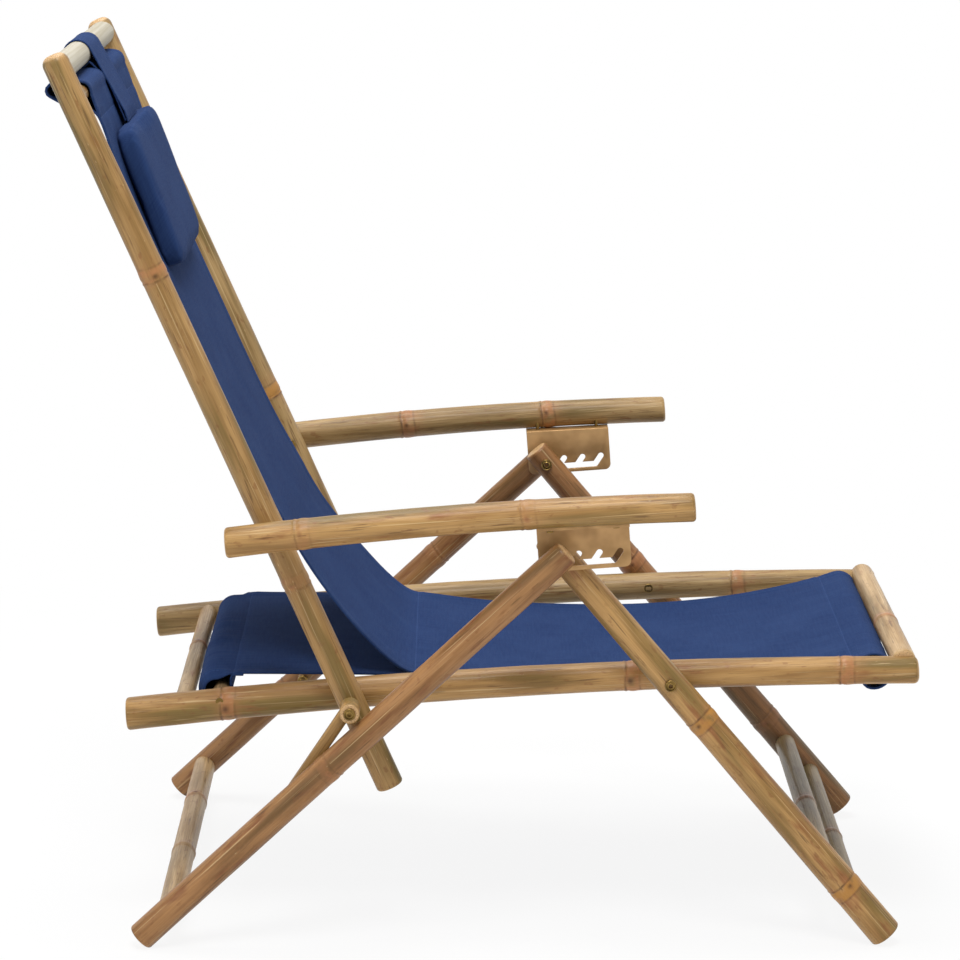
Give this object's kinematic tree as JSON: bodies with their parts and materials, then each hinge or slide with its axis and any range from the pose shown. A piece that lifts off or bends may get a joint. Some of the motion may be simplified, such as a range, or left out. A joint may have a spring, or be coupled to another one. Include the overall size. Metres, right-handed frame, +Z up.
{
  "type": "folding recliner",
  "caption": "Folding recliner of bamboo canes with a navy canvas sling, notched arm brackets, a rear sling panel and a strap-hung headrest pillow.",
  "frame": {"origin": "centre of the bounding box in plan, on the floor", "axes": "+X towards the front of the seat, +Y towards the chair's left side, +Z up"},
  "size_m": [0.9404, 0.635, 0.9525],
  "materials": {
    "bamboo": "lacquered",
    "bamboo_pale": "lacquered",
    "bamboo_red": "lacquered",
    "bamboo_grey": "satin",
    "pale_wood": "matt",
    "brass": "satin",
    "bronze_paint": "satin",
    "canvas": "woven"
  },
  "bodies": {
    "seat_frame": {"seat_rail_right": "bamboo", "seat_rail_left": "bamboo_pale", "seat_front_bar": "bamboo_pale", "seat_rear_bar": "bamboo_pale", "front_sling_dowel": "pale_wood", "rear_sling_dowel": "pale_wood", "dowel_screw_right": "brass", "dowel_screw_left": "brass", "leg_pivot_washer_right": "brass", "leg_pivot_washer_left": "brass", "back_pivot_washer_right": "brass", "back_pivot_washer_left": "brass", "sling_seat": "canvas", "sling_rear_panel": "canvas"},
    "front_legs": {"front_leg_right": "bamboo", "front_leg_left": "bamboo_red", "front_stretcher_upper": "bamboo_grey", "front_stretcher_lower": "bamboo_grey", "leg_pivot_bolt_right": "brass", "leg_pivot_bolt_left": "brass", "leg_pivot_nut_right": "brass", "leg_pivot_nut_left": "brass", "apex_bolt_right": "brass", "apex_bolt_left": "brass"},
    "stays": {"stay_right": "bamboo", "stay_left": "bamboo"},
    "rear_legs": {"rear_leg_right": "bamboo_red", "rear_leg_left": "bamboo_red", "rear_stretcher": "bamboo", "stay_bolt_right": "brass", "stay_bolt_left": "brass", "apex_insert_right": "brass", "apex_insert_left": "brass"},
    "back_pivots": {"back_pivot_bolt_right": "brass", "back_pivot_bolt_left": "brass", "back_pivot_nut_right": "brass", "back_pivot_nut_left": "brass", "rest_peg_right": "bamboo", "rest_peg_left": "bamboo", "sling_lap": "canvas"},
    "back": {"back_upright_right": "bamboo", "back_upright_left": "bamboo", "back_top_bar": "pale_wood", "back_top_dowel": "bamboo", "sling_back": "canvas", "headrest_pillow": "canvas", "headrest_strap": "canvas"},
    "arm_spacers": {"arm_spacer_right": "brass", "arm_spacer_left": "brass"},
    "armrests": {"armrest_right": "bamboo", "armrest_left": "bamboo", "arm_bracket_right": "bronze_paint", "arm_bracket_left": "bronze_paint", "bracket_screw_right_1": "brass", "bracket_screw_right_2": "brass", "bracket_screw_left_1": "brass", "bracket_screw_left_2": "brass", "arm_bolt_right": "brass", "arm_bolt_left": "brass"}
  },
  "joints": [
    {"name": "fold", "type": "hinge", "parent": "seat_frame", "child": "front_legs", "pos_m": [0.1992, 0, 0.288], "axis": [0, 1, 0], "range_deg": [0, 106]},
    {"name": "stay_turn", "type": "hinge", "parent": "seat_frame", "child": "stays", "pos_m": [-0.1418, 0, 0.263], "axis": [0, 1, 0], "range_deg": [-117, 0]},
    {"name": "rear_leg_turn", "type": "hinge", "parent": "stays", "child": "rear_legs", "pos_m": [-0.21268, 0, 0.15384], "axis": [0, 1, 0], "range_deg": [0, 143.5]},
    {"name": "back_fold", "type": "hinge", "parent": "seat_frame", "child": "back_pivots", "pos_m": [-0.1418, 0, 0.263], "axis": [0, 1, 0], "range_deg": [0, 97.1], "deforming": ["sling_lap"]},
    {"name": "recline", "type": "hinge", "parent": "back_pivots", "child": "back", "pos_m": [-0.1418, 0, 0.263], "axis": [0, -1, 0], "range_deg": [0, 22.5], "deforming": ["sling_lap"]},
    {"name": "spacer_turn", "type": "hinge", "parent": "back", "child": "arm_spacers", "pos_m": [-0.22779, 0, 0.44909], "axis": [0, 1, 0], "range_deg": [0, 14.6]},
    {"name": "arm_turn", "type": "hinge", "parent": "arm_spacers", "child": "armrests", "pos_m": [-0.22779, 0, 0.44909], "axis": [0, 1, 0], "range_deg": [-109.6, 0]}
  ],
  "couplings": [
    {"joint": "stay_turn", "follows": "fold", "ratio": -1.1033},
    {"joint": "rear_leg_turn", "follows": "fold", "ratio": 1.3532},
    {"joint": "back_fold", "follows": "fold", "ratio": 0.91509},
    {"joint": "arm_turn", "follows": "fold", "ratio": -1.033},
    {"joint": "spacer_turn", "follows": "recline", "ratio": 0.6465}
  ]
}
